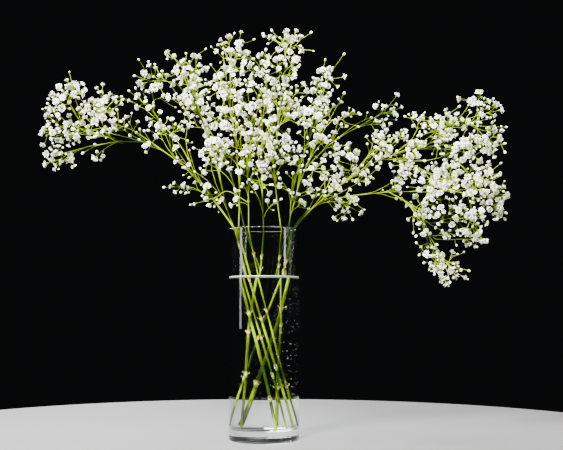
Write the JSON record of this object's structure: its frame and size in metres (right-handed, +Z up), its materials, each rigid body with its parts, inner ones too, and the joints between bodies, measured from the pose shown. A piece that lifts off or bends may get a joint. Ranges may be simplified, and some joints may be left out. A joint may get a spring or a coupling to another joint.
{
  "type": "gypsophila stems in a vase",
  "caption": "Bunch of cut gypsophila stems, each with side sprays of small white double florets, standing in water in a plain clear glass cylinder vase.",
  "frame": {"origin": "centre of the vase's underside", "axes": "+Z up along the vase's axis, +X to the right and -Y towards the viewer when the vase is seen from the front"},
  "size_m": [0.5187, 0.2096, 0.4496],
  "materials": {
    "glass": "clear, polished",
    "water": "clear still water",
    "stem": "fresh green stem, satin",
    "petal": "matt white petal"
  },
  "bodies": {
    "root": {"vase": "glass", "water": "water", "stem_1": "stem", "stem_2": "stem", "stem_3": "stem", "stem_4": "stem", "stem_5": "stem", "stem_6": "stem", "stem_7": "stem", "stem_8": "stem", "spray_1_01": "petal", "spray_1_02": "petal", "spray_1_03": "petal", "spray_1_04": "petal", "spray_1_05": "petal", "spray_1_06": "petal", "spray_1_07": "petal", "spray_2_01": "petal", "spray_2_02": "petal", "spray_2_03": "petal", "spray_3_01": "petal", "spray_3_02": "petal", "spray_3_03": "petal", "spray_3_04": "petal", "spray_4_01": "petal", "spray_4_02": "petal", "spray_4_03": "petal", "spray_4_04": "petal", "spray_5_01": "petal", "spray_5_02": "petal", "spray_5_03": "petal", "spray_6_01": "petal", "spray_6_02": "petal", "spray_6_03": "petal", "spray_6_04": "petal", "spray_6_05": "petal", "spray_6_06": "petal", "spray_7_01": "petal", "spray_7_02": "petal", "spray_7_03": "petal", "spray_7_04": "petal", "spray_7_05": "petal", "spray_7_06": "petal", "spray_7_07": "petal", "spray_7_08": "petal", "spray_7_09": "petal", "spray_7_10": "petal", "spray_7_11": "petal", "spray_7_12": "petal", "spray_7_13": "petal", "spray_7_14": "petal", "spray_7_15": "petal", "spray_7_16": "petal", "spray_7_17": "petal", "spray_7_18": "petal", "spray_7_19": "petal", "spray_8_01": "petal", "spray_8_02": "petal", "spray_8_03": "petal"}
  },
  "joints": []
}
